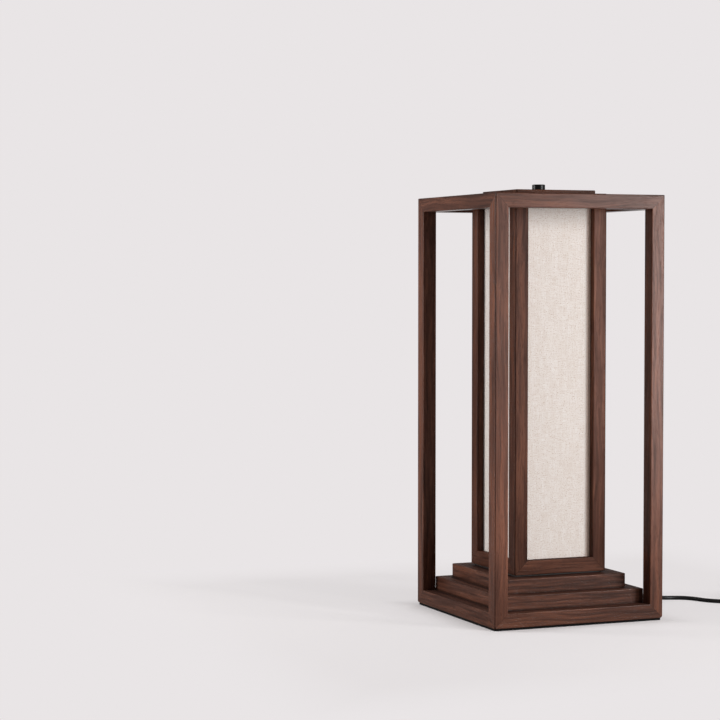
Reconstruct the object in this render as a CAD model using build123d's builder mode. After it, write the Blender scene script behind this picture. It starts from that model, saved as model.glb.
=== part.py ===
from build123d import *
import math
import os

# Andon floor lamp: an open square cage of mitred bars round a slim linen-panelled column on a
# stepped plinth. Millimetres, +Z up. The origin is on the floor, in the middle of the cage.
# -Y is the front, and the mains cord leaves through the bottom rail on the +X side.

# --- Cage -------------------------------------------------------------------------------------
cage_width = 260.0  # over the posts, square in plan
cage_height = 590.0  # timber only, from the underside of the bottom rails
cage_bar = 20.0  # posts and rails are square
arris = 1.2  # rounding along every long timber edge
inner_arris = 0.4  # along the edges inside the frames, which the plinth and the panels meet
bottom_ease, bottom_ease_radius = 4.0, 14.0  # the cage's corners are sanded off to domes
top_ease, top_ease_radius = 2.0, 7.0
foot_height = 3.0
foot_width = 18.0  # of the strips under the bottom rails
foot_corner = 5.0
foot_inset = 1.0  # from the cage's outer faces

# --- Stepped plinth ---------------------------------------------------------------------------
lower_rise = 20.0
upper_rise = 20.0
lower_tread = 18.5  # width of step left round the upper tier
well_width = 40.0  # square hole through both tiers
glue_line = 0.1  # joint left between mitred boards
base_panel_thickness = 16.0
bottom_cover_width = 196.0
bottom_cover_thickness = 3.0
window_length = 100.0  # opening in the base panel, along X
window_width = 54.0
vent_radius = 2.0
vent_pitch = 6.0
vent_rows = 7
vent_columns = 3
vent_centre = -40.0  # along X, beside the driver

# --- Column -----------------------------------------------------------------------------------
column_width = 142.0
column_height = 531.0
column_bar = 20.0
shadow_gap = 2.0  # between the plinth and the column
spacer_inset = 4.0  # from the column's faces
spacer_width = 10.0
linen_recess = 10.0  # from the column's face to the linen
linen_thickness = 0.6
diffuser_thickness = 2.0
groove_depth = 4.0
groove_play = 0.1  # on each side of the panel
panel_play = 0.4  # between the panel's edge and the groove's floor

# --- Mitre dowels -----------------------------------------------------------------------------
dowel_radius = 2.0
dowel_length = 12.0
dowel_inset = 13.6  # from the outer corner, along both mitred members
dowel_depth = 5.0  # from the outer face
fit = 0.05  # radial clearance of dowels, screws and shafts in their holes

# --- Top plate --------------------------------------------------------------------------------
plate_length = 124.0  # along X
plate_width = 110.0
plate_thickness = 5.0
plate_corner = 2.0

# --- Light source -----------------------------------------------------------------------------
mast_width = 16.0
mast_wall = 1.2
mast_top_gap = 9.0  # below the dimmer
mast_foot_width = 30.0
mast_foot_thickness = 2.0
mast_foot_bearing = 10.0  # lap on the plinth at each end
spigot_height = 12.0
spigot_play = 0.1
strip_width = 10.0
strip_thickness = 1.2
strip_end_gap = 14.0  # from each end of the mast
driver_length = 60.0
driver_width = 38.0
driver_corner = 2.0
wire_radius = 2.0

# --- Dimmer and knob --------------------------------------------------------------------------
dimmer_width = 28.0
dimmer_height = 12.0
dimmer_corner = 3.0
bush_radius = 3.5
bush_height = 3.3  # above the plate
flange_radius = 6.0
flange_thickness = 0.8
nut_across_flats = 10.0
nut_height = 2.0
shaft_radius = 3.0
shaft_depth = 8.0  # below the plate's underside
shaft_end_gap = 0.3
shaft_flat = 2.2  # from the axis to the flat
shaft_flat_length = 3.4
knob_radius = 9.25
knob_height = 8.7
knob_gap = 0.6  # over the plate
knob_edge = 1.2
knob_recess_radius = 7.0
knob_recess_depth = 3.4
knob_bore_gap = 0.3
index_width = 0.8
index_length = 4.5
index_depth = 0.4
index_edge_gap = 1.5

# --- Screws -----------------------------------------------------------------------------------
small_shank = 1.5
small_head = 2.8
large_shank = 2.0
large_head = 4.0
head_rim = 0.4
head_height = 2.0
head_sink = 0.2  # below the surface
drive_length = 3.2  # of each arm of the cross recess, tip to tip
drive_width = 0.8
drive_depth = 1.2
small_screw_length = 10.0
plate_screw_length = 16.0
base_screw_length = 30.0
column_screw_length = 56.0
column_screw_spread = 35.0
base_screw_spread = 50.0
base_screw_edge = 18.0  # from the lower tier's outer edge
cover_screw_edge = 12.0
plate_screw_spread = 38.0
plate_screw_edge = 5.0

# --- Mains cord -------------------------------------------------------------------------------
cord_radius = 3.0
cord_rise = 10.0  # of the exit, above the underside of the bottom rail
channel_play = 1.5
barrel_radius = 5.5
gland_flange_radius = 8.0
gland_flange_thickness = 2.5
gland_tail_length = 23.5
gland_root_radius = 5.4
gland_tip_radius = 3.9
gland_ribs = 4
gland_rib_gap = 1.6
gland_rib_depth = 0.7
grip_length = 10.0
grip_width = 26.0
grip_height = 12.0
grip_gap = 4.0  # from the driver
grip_screw_spread = 9.0
coil_inner_radius = 21.0
coil_outer_radius = 49.0
coil_height = 12.0
coil_edge = 5.8
first_turn_radius = 44.0  # to the cord's middle
last_turn_radius = 46.0
coil_lead_in = 30.0  # straight cord up to the first turn
coil_tail = 48.0  # straight cord between the last turn and the plug
plug_rise = 7.5
plug_tail_length = 15.0
plug_tail_radius = 3.8
plug_neck_radius = 5.0
plug_neck_width = 16.0
plug_neck_thickness = 12.0
plug_shoulder = 14.0
plug_grip = 14.0
plug_width = 24.0
plug_thickness = 15.0
plug_corner = 4.5
plug_edge = 1.5
blade_length = 17.0
blade_width = 6.3
blade_thickness = 1.5
blade_spread = 12.7

# --- Levels and widths that follow from the sizes above ---------------------------------------
inner_width = cage_width - 2 * cage_bar
step_base = foot_height + cage_bar
lower_top = step_base + lower_rise
upper_top = lower_top + upper_rise
upper_width = inner_width - 2 * lower_tread
panel_base = step_base - base_panel_thickness
cover_base = panel_base - bottom_cover_thickness
column_base = upper_top + shadow_gap
column_top = column_base + column_height
rail_centre = (column_width - column_bar) / 2
plate_top = column_top + plate_thickness
dimmer_base = column_top - dimmer_height
mast_base = upper_top + mast_foot_thickness
mast_top = dimmer_base - mast_top_gap
cord_height = foot_height + cord_rise
gland_face = cage_width / 2 + gland_flange_thickness
gland_tip = gland_face + gland_tail_length

# The loose cord from the gland to the coil, with one bend at each point between the ends. It
# leaves level, comes down onto the floor and wanders off to the right.
cord_points = [
    (gland_tip, 0.0, cord_height),
    (187.0, 0.0, cord_height),
    (213.0, 22.5, 4.6),
    (235.0, 25.5, cord_radius),
    (252.0, 18.5, cord_radius),
    (263.5, 4.0, cord_radius),
    (269.0, -16.0, cord_radius),
    (291.0, -38.0, cord_radius),
    (313.0, -49.0, cord_radius),
]

os.makedirs("parts", exist_ok=True)


def keep(piece, node):
    """Label a finished piece and write it as its own STEP file."""
    piece.part.label = node
    export_step(piece.part, f"parts/{node}.step")


# --- Square frames of mitred bars -------------------------------------------------------------
right, back, up, down = Vector(1, 0, 0), Vector(0, 1, 0), Vector(0, 0, 1), Vector(0, 0, -1)
# The way inwards from each side, and the two ways inwards from each corner.
side_inwards = {"front": back, "rear": -back, "left": right, "right": -right}
corner_inwards = {
    "front_left": (right, back),
    "front_right": (back, -right),
    "rear_left": (-back, right),
    "rear_right": (-right, -back),
}


def outer_corner(reach, width, base, height):
    """Outer corner of a square frame from which the three inward ways add up to reach."""
    return Vector(-reach.X * width / 2, -reach.Y * width / 2, base + (1 - reach.Z) * height / 2)


def outer_edge(inward, other_inward, width, base, height):
    """Plane on an outer edge of a square frame: x runs along it, y and z point inwards."""
    along = inward.cross(other_inward)
    corner = outer_corner(along + inward + other_inward, width, base, height)
    return Plane(origin=corner, x_dir=along, z_dir=other_inward)


def mitred_bar(length, size, panelled_faces=""):
    """Square bar along X, cut at both ends to meet two more bars in a three-way mitre.

    y = 0 and z = 0 are its outer faces. A panel lies behind each of the panelled faces, in a
    groove in the bar's inner side.
    """
    groove_width = linen_thickness + diffuser_thickness + 2 * groove_play
    behind = linen_recess + groove_width / 2
    floor = size - groove_depth / 2
    grooves = {
        "y": (behind, floor, groove_width, groove_depth),
        "z": (floor, behind, groove_depth, groove_width),
    }
    with BuildPart() as bar:
        Box(length, size, size, align=(Align.MIN, Align.MIN, Align.MIN))
        inner_edge = bar.edges().filter_by(Axis.X).sort_by(Axis.Y)[-2:].sort_by(Axis.Z)[-1]
        fillet(inner_edge, inner_arris)
        corner_edges = bar.edges().filter_by(Axis.X).filter_by(
            lambda edge: edge.center().Y in (0, size) and edge.center().Z in (0, size)
        )
        fillet(corner_edges, arris)
        for face in panelled_faces:
            y, z, width, height = grooves[face]
            with BuildSketch(Plane.YZ):
                with Locations((y, z)):
                    Rectangle(width, height)
            extrude(amount=length, mode=Mode.SUBTRACT)
        for end, inward in ((0, 1), (length, -1)):
            split(bisect_by=Plane(origin=(end, 0, 0), z_dir=(inward, -1, 0)))
            split(bisect_by=Plane(origin=(end, 0, 0), z_dir=(inward, 0, -1)))
    return bar.part


def dowel_planes(width, base, height):
    """Planes with their normals along the dowels, three at each corner of a square frame."""
    planes = []
    for first, second in corner_inwards.values():
        for third in (up, down):
            corner = outer_corner(first + second + third, width, base, height)
            for one, other, outer in (
                (first, second, third),
                (second, third, first),
                (third, first, second),
            ):
                centre = corner + (one + other) * dowel_inset + outer * dowel_depth
                planes.append(Plane(origin=centre, z_dir=one - other))
    return planes


def dowels(planes, play=0.0):
    """Round dowels on the given planes, or their holes, which are larger by the play."""
    with BuildPart() as pins:
        with Locations(*planes):
            Cylinder(dowel_radius + play, dowel_length + 2 * play)
    return pins


cage_dowel_planes = dowel_planes(cage_width, foot_height, cage_height)
column_dowel_planes = dowel_planes(column_width, column_base, column_height)
cage_dowel_holes = dowels(cage_dowel_planes, fit).part
column_dowel_holes = dowels(column_dowel_planes, fit).part
keep(dowels(cage_dowel_planes + column_dowel_planes), "mitre_dowels")


# --- Countersunk screws -----------------------------------------------------------------------
def screws(planes, shank, head, length, play=0.0):
    """Screws whose planes lie on their heads, facing along the shanks, or the holes for them.

    A hole is larger all round by the play and runs out through the surface above the head.
    """
    mouth = -head_sink if play else 0.0
    with BuildPart() as screw:
        with BuildSketch(Plane.XZ):
            Polygon(
                (0, mouth),
                (head + play, mouth),
                (head + play, head_rim),
                (shank + play, head_height),
                (shank + play, length + play),
                (0, length + play),
                align=None,
            )
        revolve(axis=Axis.Z)
        if not play:
            with BuildSketch():
                Rectangle(drive_length, drive_width)
                Rectangle(drive_width, drive_length)
            extrude(amount=drive_depth, mode=Mode.SUBTRACT)
    with BuildPart() as placed:
        with Locations(*planes):
            add(screw.part)
    return placed


def driven_up(points, level):
    """Planes for screws driven upwards from a level."""
    return [Plane(origin=(x, y, level + head_sink), z_dir=up) for x, y in points]


def driven_down(points, level):
    """Planes for screws driven downwards from a level."""
    return [Plane(origin=(x, y, level - head_sink), z_dir=down) for x, y in points]


def mirrored(x, y):
    """A point and its mirror images in both axes."""
    return [(x, y), (-x, y), (x, -y), (-x, -y)]


cover_screw_reach = bottom_cover_width / 2 - cover_screw_edge
base_screw_reach = inner_width / 2 - base_screw_edge
plate_screw_reach = plate_length / 2 - plate_screw_edge
mast_screw_reach = (well_width + mast_foot_bearing) / 2
grip_middle = driver_length / 2 + grip_gap + grip_length / 2
column_screw_points = mirrored(column_screw_spread, rail_centre)
column_screw_points += mirrored(rail_centre, column_screw_spread)
base_screw_points = mirrored(base_screw_spread, base_screw_reach)
base_screw_points += mirrored(base_screw_reach, base_screw_spread)
grip_screw_points = [(grip_middle, -grip_screw_spread), (grip_middle, grip_screw_spread)]
cover_screw_points = mirrored(cover_screw_reach, cover_screw_reach) + grip_screw_points
mast_screw_points = [(-mast_screw_reach, 0), (mast_screw_reach, 0)]
plate_screw_points = mirrored(plate_screw_reach, plate_screw_spread)

screw_sets = {
    "column_screws": (
        driven_up(column_screw_points, step_base), large_shank, large_head, column_screw_length
    ),
    "base_screws": (
        driven_up(base_screw_points, panel_base), large_shank, large_head, base_screw_length
    ),
    "cover_screws": (
        driven_up(cover_screw_points, cover_base), small_shank, small_head, small_screw_length
    ),
    "mast_screws": (
        driven_down(mast_screw_points, mast_base), small_shank, small_head, small_screw_length
    ),
    "plate_screws": (
        driven_down(plate_screw_points, plate_top), small_shank, small_head, plate_screw_length
    ),
}
screw_holes = {}
for node, sizes in screw_sets.items():
    keep(screws(*sizes), node)
    screw_holes[node] = screws(*sizes, play=fit).part

# --- Cage -------------------------------------------------------------------------------------
with BuildPart() as gland_hole:
    with BuildSketch(Plane.YZ.offset(inner_width / 2)):
        with Locations((0, cord_height)):
            Circle(barrel_radius + fit)
    extrude(amount=cage_bar)

with BuildPart() as corner_waste:
    for first, second in corner_inwards.values():
        for third, ease, radius in (
            (up, bottom_ease, bottom_ease_radius),
            (down, top_ease, top_ease_radius),
        ):
            reach = first + second + third
            corner_point = outer_corner(reach, cage_width, foot_height, cage_height)
            dome_depth = (ease + math.sqrt(3 * radius**2 - 2 * ease**2)) / 3
            with Locations(corner_point):
                Box(2 * ease, 2 * ease, 2 * ease)
            with Locations(corner_point + reach * dome_depth):
                Sphere(radius, mode=Mode.SUBTRACT)

cage_post_bar = mitred_bar(cage_height, cage_bar)
for corner, inwards in corner_inwards.items():
    with BuildPart() as cage_post:
        with Locations(outer_edge(*inwards, cage_width, foot_height, cage_height)):
            add(cage_post_bar)
        add(corner_waste.part, mode=Mode.SUBTRACT)
        add(cage_dowel_holes, mode=Mode.SUBTRACT)
    keep(cage_post, f"cage_post_{corner}")

cage_rail_bar = mitred_bar(cage_width, cage_bar)
for side, inward in side_inwards.items():
    for level, other_inward in (("bottom", up), ("top", down)):
        with BuildPart() as cage_rail:
            with Locations(outer_edge(inward, other_inward, cage_width, foot_height, cage_height)):
                add(cage_rail_bar)
            add(corner_waste.part, mode=Mode.SUBTRACT)
            add(cage_dowel_holes, mode=Mode.SUBTRACT)
            if (level, side) == ("bottom", "right"):
                add(gland_hole.part, mode=Mode.SUBTRACT)
        keep(cage_rail, f"cage_{level}_rail_{side}")

# --- Plinth -----------------------------------------------------------------------------------
def mitred_boards(outer, inner, base, height, edge=0.0):
    """Four flat boards mitred round a square hole, with a glue line between neighbours."""
    with BuildPart() as boards:
        with BuildSketch(Plane.XY.offset(base)):
            with PolarLocations(0, 4):
                Polygon(
                    (glue_line - outer / 2, -outer / 2),
                    (outer / 2 - glue_line, -outer / 2),
                    (inner / 2 - glue_line, -inner / 2),
                    (glue_line - inner / 2, -inner / 2),
                )
        extrude(amount=height)
        if edge:
            rims = boards.edges().group_by(Axis.Z)[-1]
            fillet(rims.group_by(SortBy.LENGTH)[-1], edge)
    return boards.part


foot_outer = cage_width - 2 * foot_inset
with BuildPart() as foot_pads:
    add(mitred_boards(foot_outer, foot_outer - 2 * foot_width, 0, foot_height))
    with BuildSketch():
        RectangleRounded(foot_outer, foot_outer, foot_corner)
    extrude(amount=foot_height, mode=Mode.INTERSECT)
keep(foot_pads, "foot_pads")

lower_tier = mitred_boards(inner_width, well_width, step_base, lower_rise, arris)
upper_tier = mitred_boards(upper_width, well_width, lower_top, upper_rise, arris)
spacer_outer = column_width - 2 * spacer_inset
spacer_strips = mitred_boards(
    spacer_outer, spacer_outer - 2 * spacer_width, upper_top, shadow_gap
)

with BuildPart() as lower_tier_boards:
    add(lower_tier)
    add(screw_holes["column_screws"], mode=Mode.SUBTRACT)
    add(screw_holes["base_screws"], mode=Mode.SUBTRACT)
keep(lower_tier_boards, "lower_tier_boards")

with BuildPart() as upper_tier_boards:
    add(upper_tier)
    add(screw_holes["column_screws"], mode=Mode.SUBTRACT)
    add(screw_holes["mast_screws"], mode=Mode.SUBTRACT)
keep(upper_tier_boards, "upper_tier_boards")

with BuildPart() as column_spacers:
    add(spacer_strips)
    add(screw_holes["column_screws"], mode=Mode.SUBTRACT)
keep(column_spacers, "column_spacers")

channel_width = 2 * (cord_radius + channel_play)
channel_length = (inner_width - window_length) / 2
with BuildPart() as base_panel:
    with BuildSketch(Plane.XY.offset(panel_base)):
        Rectangle(inner_width, inner_width)
        Rectangle(window_length, window_width, mode=Mode.SUBTRACT)
    extrude(amount=base_panel_thickness)
    with BuildSketch(Plane.XY.offset(panel_base)):
        with Locations(((window_length + channel_length) / 2, 0)):
            Rectangle(channel_length, channel_width)
    extrude(amount=cord_height + channel_width / 2 - panel_base, mode=Mode.SUBTRACT)
    add(screw_holes["base_screws"], mode=Mode.SUBTRACT)
    add(screw_holes["cover_screws"], mode=Mode.SUBTRACT)
keep(base_panel, "base_panel")

with BuildPart() as bottom_cover:
    with BuildSketch(Plane.XY.offset(cover_base)):
        Rectangle(bottom_cover_width, bottom_cover_width)
        with Locations((vent_centre, 0)):
            with GridLocations(vent_pitch, vent_pitch, vent_columns, vent_rows):
                Circle(vent_radius, mode=Mode.SUBTRACT)
    extrude(amount=bottom_cover_thickness)
    add(screw_holes["cover_screws"], mode=Mode.SUBTRACT)
keep(bottom_cover, "bottom_cover")

# --- Column -----------------------------------------------------------------------------------
column_post_bar = mitred_bar(column_height, column_bar, "yz")
for corner, inwards in corner_inwards.items():
    with BuildPart() as column_post:
        with Locations(outer_edge(*inwards, column_width, column_base, column_height)):
            add(column_post_bar)
        add(column_dowel_holes, mode=Mode.SUBTRACT)
    keep(column_post, f"column_post_{corner}")

column_rail_bar = mitred_bar(column_width, column_bar, "y")
for side, inward in side_inwards.items():
    for level, other_inward in (("bottom", up), ("top", down)):
        held_by = screw_holes["column_screws" if level == "bottom" else "plate_screws"]
        edge = outer_edge(inward, other_inward, column_width, column_base, column_height)
        with BuildPart() as column_rail:
            with Locations(edge):
                add(column_rail_bar)
            add(column_dowel_holes, mode=Mode.SUBTRACT)
            add(held_by, mode=Mode.SUBTRACT)
        keep(column_rail, f"column_{level}_rail_{side}")

panel_width = column_width - 2 * (column_bar - groove_depth + panel_play)
panel_height = column_height - 2 * (column_bar - groove_depth + panel_play)
linen_face = column_width / 2 - linen_recess - groove_play
panel_centre = up * (column_base + column_height / 2)
for side, inward in side_inwards.items():
    with BuildPart() as linen:
        face = Plane(origin=panel_centre - inward * linen_face, x_dir=up, z_dir=inward)
        with BuildSketch(face):
            Rectangle(panel_height, panel_width)
        extrude(amount=linen_thickness)
    keep(linen, f"linen_{side}")

with BuildPart() as diffusers:
    for inward in side_inwards.values():
        face_centre = panel_centre - inward * (linen_face - linen_thickness)
        with BuildSketch(Plane(origin=face_centre, x_dir=up, z_dir=inward)):
            Rectangle(panel_height, panel_width)
        extrude(amount=diffuser_thickness)
keep(diffusers, "diffusers")

# --- Light source -----------------------------------------------------------------------------
with BuildPart() as mast_foot:
    with BuildSketch(Plane.XY.offset(upper_top)):
        Rectangle(well_width + 2 * mast_foot_bearing, mast_foot_width)
    extrude(amount=mast_foot_thickness)
    spigot_width = mast_width - 2 * (mast_wall + spigot_play)
    with BuildSketch(Plane.XY.offset(mast_base)):
        Rectangle(spigot_width, spigot_width)
    extrude(amount=spigot_height)
    with Locations((0, 0, mast_base)):
        Hole(wire_radius + fit)
    add(screw_holes["mast_screws"], mode=Mode.SUBTRACT)
keep(mast_foot, "mast_foot")

with BuildPart() as led_mast:
    with BuildSketch(Plane.XY.offset(mast_base)):
        Rectangle(mast_width, mast_width)
        Rectangle(mast_width - 2 * mast_wall, mast_width - 2 * mast_wall, mode=Mode.SUBTRACT)
    extrude(amount=mast_top - mast_base)
keep(led_mast, "led_mast")

with BuildPart() as led_strips:
    with BuildSketch(Plane.XY.offset(mast_base + strip_end_gap)):
        with PolarLocations((mast_width + strip_thickness) / 2, 4):
            Rectangle(strip_thickness, strip_width)
    extrude(amount=mast_top - mast_base - 2 * strip_end_gap)
keep(led_strips, "led_strips")

with BuildPart() as led_driver:
    with BuildSketch(Plane.XY.offset(panel_base)):
        RectangleRounded(driver_length, driver_width, driver_corner)
    extrude(amount=base_panel_thickness)
    fillet(led_driver.edges().group_by(Axis.Z)[-1], driver_corner / 2)
keep(led_driver, "led_driver")

with BuildPart() as dimmer_wire:
    with BuildSketch(Plane.XY.offset(step_base)):
        Circle(wire_radius)
    extrude(amount=dimmer_base - step_base)
keep(dimmer_wire, "dimmer_wire")

# --- Top plate and dimmer ---------------------------------------------------------------------
with BuildPart() as top_plate:
    with BuildSketch(Plane.XY.offset(column_top)):
        RectangleRounded(plate_length, plate_width, plate_corner)
    extrude(amount=plate_thickness)
    fillet(top_plate.edges().group_by(Axis.Z)[-1], arris)
    with BuildSketch(Plane.XY.offset(column_top)):
        Circle(bush_radius + fit)
    extrude(amount=plate_thickness, mode=Mode.SUBTRACT)
    add(screw_holes["plate_screws"], mode=Mode.SUBTRACT)
keep(top_plate, "top_plate")

shaft_hole_base = column_top - shaft_depth
bush_top = plate_top + bush_height
with BuildPart() as dimmer_body:
    with BuildSketch(Plane.XY.offset(dimmer_base)):
        RectangleRounded(dimmer_width, dimmer_width, dimmer_corner)
    extrude(amount=dimmer_height)
    with BuildSketch(Plane.XY.offset(column_top)):
        Circle(bush_radius)
    extrude(amount=bush_top - column_top)
    with BuildSketch(Plane.XY.offset(shaft_hole_base)):
        Circle(shaft_radius + fit)
    extrude(amount=bush_top - shaft_hole_base, mode=Mode.SUBTRACT)
keep(dimmer_body, "dimmer_body")

with BuildPart() as dimmer_nut:
    with BuildSketch(Plane.XY.offset(plate_top)):
        Circle(flange_radius)
    extrude(amount=flange_thickness)
    with BuildSketch(Plane.XY.offset(plate_top + flange_thickness)):
        RegularPolygon(nut_across_flats / 2, 6, major_radius=False)
    extrude(amount=nut_height)
    with Locations((0, 0, plate_top)):
        Hole(bush_radius + fit)
keep(dimmer_nut, "dimmer_nut")

# --- Knob on its shaft, with the pointer at the front -----------------------------------------
knob_base = plate_top + knob_gap
knob_top = knob_base + knob_height
knob_floor = knob_base + knob_recess_depth
shaft_base = shaft_hole_base + shaft_end_gap


def flatted_circle(play=0.0):
    """Draw the shaft's section with its one flat, or the bore for it, larger by the play."""
    Circle(shaft_radius + play)
    with Locations((shaft_flat + play, 0)):
        Rectangle(
            shaft_radius,
            2 * knob_radius,
            align=(Align.MIN, Align.CENTER),
            mode=Mode.SUBTRACT,
        )


with BuildPart() as dimmer_shaft:
    with BuildSketch(Plane.XY.offset(shaft_base)):
        Circle(shaft_radius)
    extrude(amount=knob_floor - shaft_base)
    with BuildSketch(Plane.XY.offset(knob_floor)):
        flatted_circle()
    extrude(amount=shaft_flat_length)
keep(dimmer_shaft, "dimmer_shaft")

with BuildPart() as knob:
    with BuildSketch(Plane.XY.offset(knob_base)):
        Circle(knob_radius)
    extrude(amount=knob_height)
    fillet(knob.edges().group_by(Axis.Z)[-1], knob_edge)
    with BuildSketch(Plane.XY.offset(knob_base)):
        Circle(knob_recess_radius)
    extrude(amount=knob_recess_depth, mode=Mode.SUBTRACT)
    with BuildSketch(Plane.XY.offset(knob_floor)):
        flatted_circle(fit)
    extrude(amount=shaft_flat_length + knob_bore_gap, mode=Mode.SUBTRACT)
    with BuildSketch(Plane.XY.offset(knob_top - index_depth)):
        with Locations((0, index_edge_gap + index_length / 2 - knob_radius)):
            Rectangle(index_width, index_length)
    extrude(amount=index_depth, mode=Mode.SUBTRACT)
keep(knob, "knob")

# --- Mains lead inside the plinth -------------------------------------------------------------
with BuildPart() as inner_lead:
    with BuildSketch(Plane.YZ.offset(driver_length / 2)):
        with Locations((0, cord_height)):
            Circle(cord_radius)
    extrude(amount=(inner_width - driver_length) / 2)
keep(inner_lead, "inner_lead")

with BuildPart() as cord_grip:
    with BuildSketch(Plane.YZ.offset(grip_middle - grip_length / 2)):
        with Locations((0, panel_base + grip_height / 2)):
            RectangleRounded(grip_width, grip_height, arris)
        with Locations((0, cord_height)):
            Circle(cord_radius + fit, mode=Mode.SUBTRACT)
    extrude(amount=grip_length)
    add(screw_holes["cover_screws"], mode=Mode.SUBTRACT)
keep(cord_grip, "cord_grip")

gland_axis = Axis((0, 0, cord_height), right)
with BuildPart() as cord_gland:
    with BuildSketch(Plane(origin=(0, 0, cord_height), x_dir=right, z_dir=-back)):
        Polygon(
            (inner_width / 2, 0),
            (inner_width / 2, barrel_radius),
            (cage_width / 2, barrel_radius),
            (cage_width / 2, gland_flange_radius),
            (gland_face, gland_flange_radius),
            (gland_face, gland_root_radius),
            (gland_tip, gland_tip_radius),
            (gland_tip, 0),
        )
    revolve(axis=gland_axis)
    for rib in range(1, gland_ribs + 1):
        share = rib / (gland_ribs + 1)
        middle = gland_face + share * gland_tail_length
        waist = gland_root_radius + share * (gland_tip_radius - gland_root_radius)
        with BuildSketch(Plane.YZ.offset(middle - gland_rib_gap / 2)):
            with Locations((0, cord_height)):
                Circle(gland_flange_radius)
                Circle(waist - gland_rib_depth, mode=Mode.SUBTRACT)
        extrude(amount=gland_rib_gap, mode=Mode.SUBTRACT)
keep(cord_gland, "cord_gland")

# --- Loose cord and plug ----------------------------------------------------------------------
points = [Vector(*point) for point in cord_points]
runs = [end - start for start, end in zip(points, points[1:])]
bend_radii = []
for run, next_run in zip(runs, runs[1:]):
    half_turn = math.radians(run.get_angle(next_run)) / 2
    bend_radii.append(0.45 * min(run.length, next_run.length) / math.tan(half_turn))

with BuildPart() as cord_run:
    with BuildLine() as route:
        FilletPolyline(*points, radius=bend_radii)
    with BuildSketch(Plane(origin=points[0], z_dir=runs[0])):
        Circle(cord_radius)
    sweep()
keep(cord_run, "cord_run")
print("cord bend radii:", [round(radius, 1) for radius in bend_radii])
route_length = sum(edge.length for edge in route.edges())
print("cord run length:", round(route_length, 1))
section_area = math.pi * cord_radius**2
print("volume over section times length:", cord_run.part.volume / (section_area * route_length))

# The coil is a ring on the floor with two straight ends: the cord arrives along one and turns
# to the left, and the other runs back along +Y to the plug.
heading = runs[-1].normalized()
left_of_heading = up.cross(heading)
touch = points[-1] + heading * coil_lead_in
coil_centre = touch + left_of_heading * first_turn_radius - up * cord_radius
tail_start = coil_centre + right * last_turn_radius + up * plug_rise
with BuildPart() as cord_coil:
    with BuildSketch(Plane(origin=coil_centre, x_dir=right, z_dir=-back)):
        with Locations(((coil_inner_radius + coil_outer_radius) / 2, coil_height / 2)):
            RectangleRounded(coil_outer_radius - coil_inner_radius, coil_height, coil_edge)
    revolve(axis=Axis(coil_centre, up))
    with BuildSketch(Plane(origin=points[-1], z_dir=heading)):
        Circle(cord_radius)
    extrude(amount=coil_lead_in)
    with BuildSketch(Plane(origin=tail_start, x_dir=up, z_dir=back)):
        Circle(cord_radius)
    extrude(amount=coil_tail)
keep(cord_coil, "cord_coil")

plug_plane = Plane(origin=tail_start + back * coil_tail, x_dir=-right, z_dir=back)
with BuildPart() as plug:
    with BuildSketch(plug_plane):
        Circle(plug_tail_radius)
    with BuildSketch(plug_plane.offset(plug_tail_length)):
        Circle(plug_neck_radius)
    loft()
    with BuildSketch(plug_plane.offset(plug_tail_length)):
        RectangleRounded(plug_neck_width, plug_neck_thickness, plug_corner)
    with BuildSketch(plug_plane.offset(plug_tail_length + plug_shoulder)):
        RectangleRounded(plug_width, plug_thickness, plug_corner)
    loft()
    with BuildSketch(plug_plane.offset(plug_tail_length + plug_shoulder)):
        RectangleRounded(plug_width, plug_thickness, plug_corner)
    extrude(amount=plug_grip)
    fillet(plug.edges().group_by(Axis.Y)[-1], plug_edge)
keep(plug, "plug")

plug_face = plug_plane.offset(plug_tail_length + plug_shoulder + plug_grip)
with BuildPart() as plug_blades:
    with BuildSketch(plug_face):
        with Locations((-blade_spread / 2, 0), (blade_spread / 2, 0)):
            Rectangle(blade_thickness, blade_width)
    extrude(amount=blade_length)
keep(plug_blades, "plug_blades")
print("coil centre:", coil_centre, "plug face:", plug_face.origin)
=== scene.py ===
"""Andon floor lamp: finishes, linen sheets, mains cord, studio and camera."""

import logging
import math
from dataclasses import dataclass, field, replace
from enum import Enum
from functools import partial
from typing import Any, Callable, Iterable, Sequence

import bpy
import bmesh
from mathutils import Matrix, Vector


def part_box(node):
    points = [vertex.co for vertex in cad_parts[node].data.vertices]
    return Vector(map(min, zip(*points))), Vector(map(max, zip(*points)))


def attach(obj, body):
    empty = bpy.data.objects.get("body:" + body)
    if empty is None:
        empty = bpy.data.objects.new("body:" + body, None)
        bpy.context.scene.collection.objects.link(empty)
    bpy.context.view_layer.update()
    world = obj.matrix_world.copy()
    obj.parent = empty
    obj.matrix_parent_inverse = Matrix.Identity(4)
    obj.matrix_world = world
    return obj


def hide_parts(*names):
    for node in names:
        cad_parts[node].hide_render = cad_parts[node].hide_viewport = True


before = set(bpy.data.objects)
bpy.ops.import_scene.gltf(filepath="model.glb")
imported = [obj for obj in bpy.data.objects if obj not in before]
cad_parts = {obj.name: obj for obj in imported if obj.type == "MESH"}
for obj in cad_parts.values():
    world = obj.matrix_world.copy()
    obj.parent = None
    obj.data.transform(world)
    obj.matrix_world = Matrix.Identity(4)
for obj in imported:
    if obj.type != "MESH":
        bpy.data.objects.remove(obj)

MM = 0.001
log = logging.getLogger("andon_lamp")

Colour = tuple[float, float, float, float]
Point = tuple[float, float, float]
Limits = tuple[float, float, float, float]  # from a low and a high, to what they become
Adder = Callable[..., bpy.types.Node]  # add_node for one tree


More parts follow.
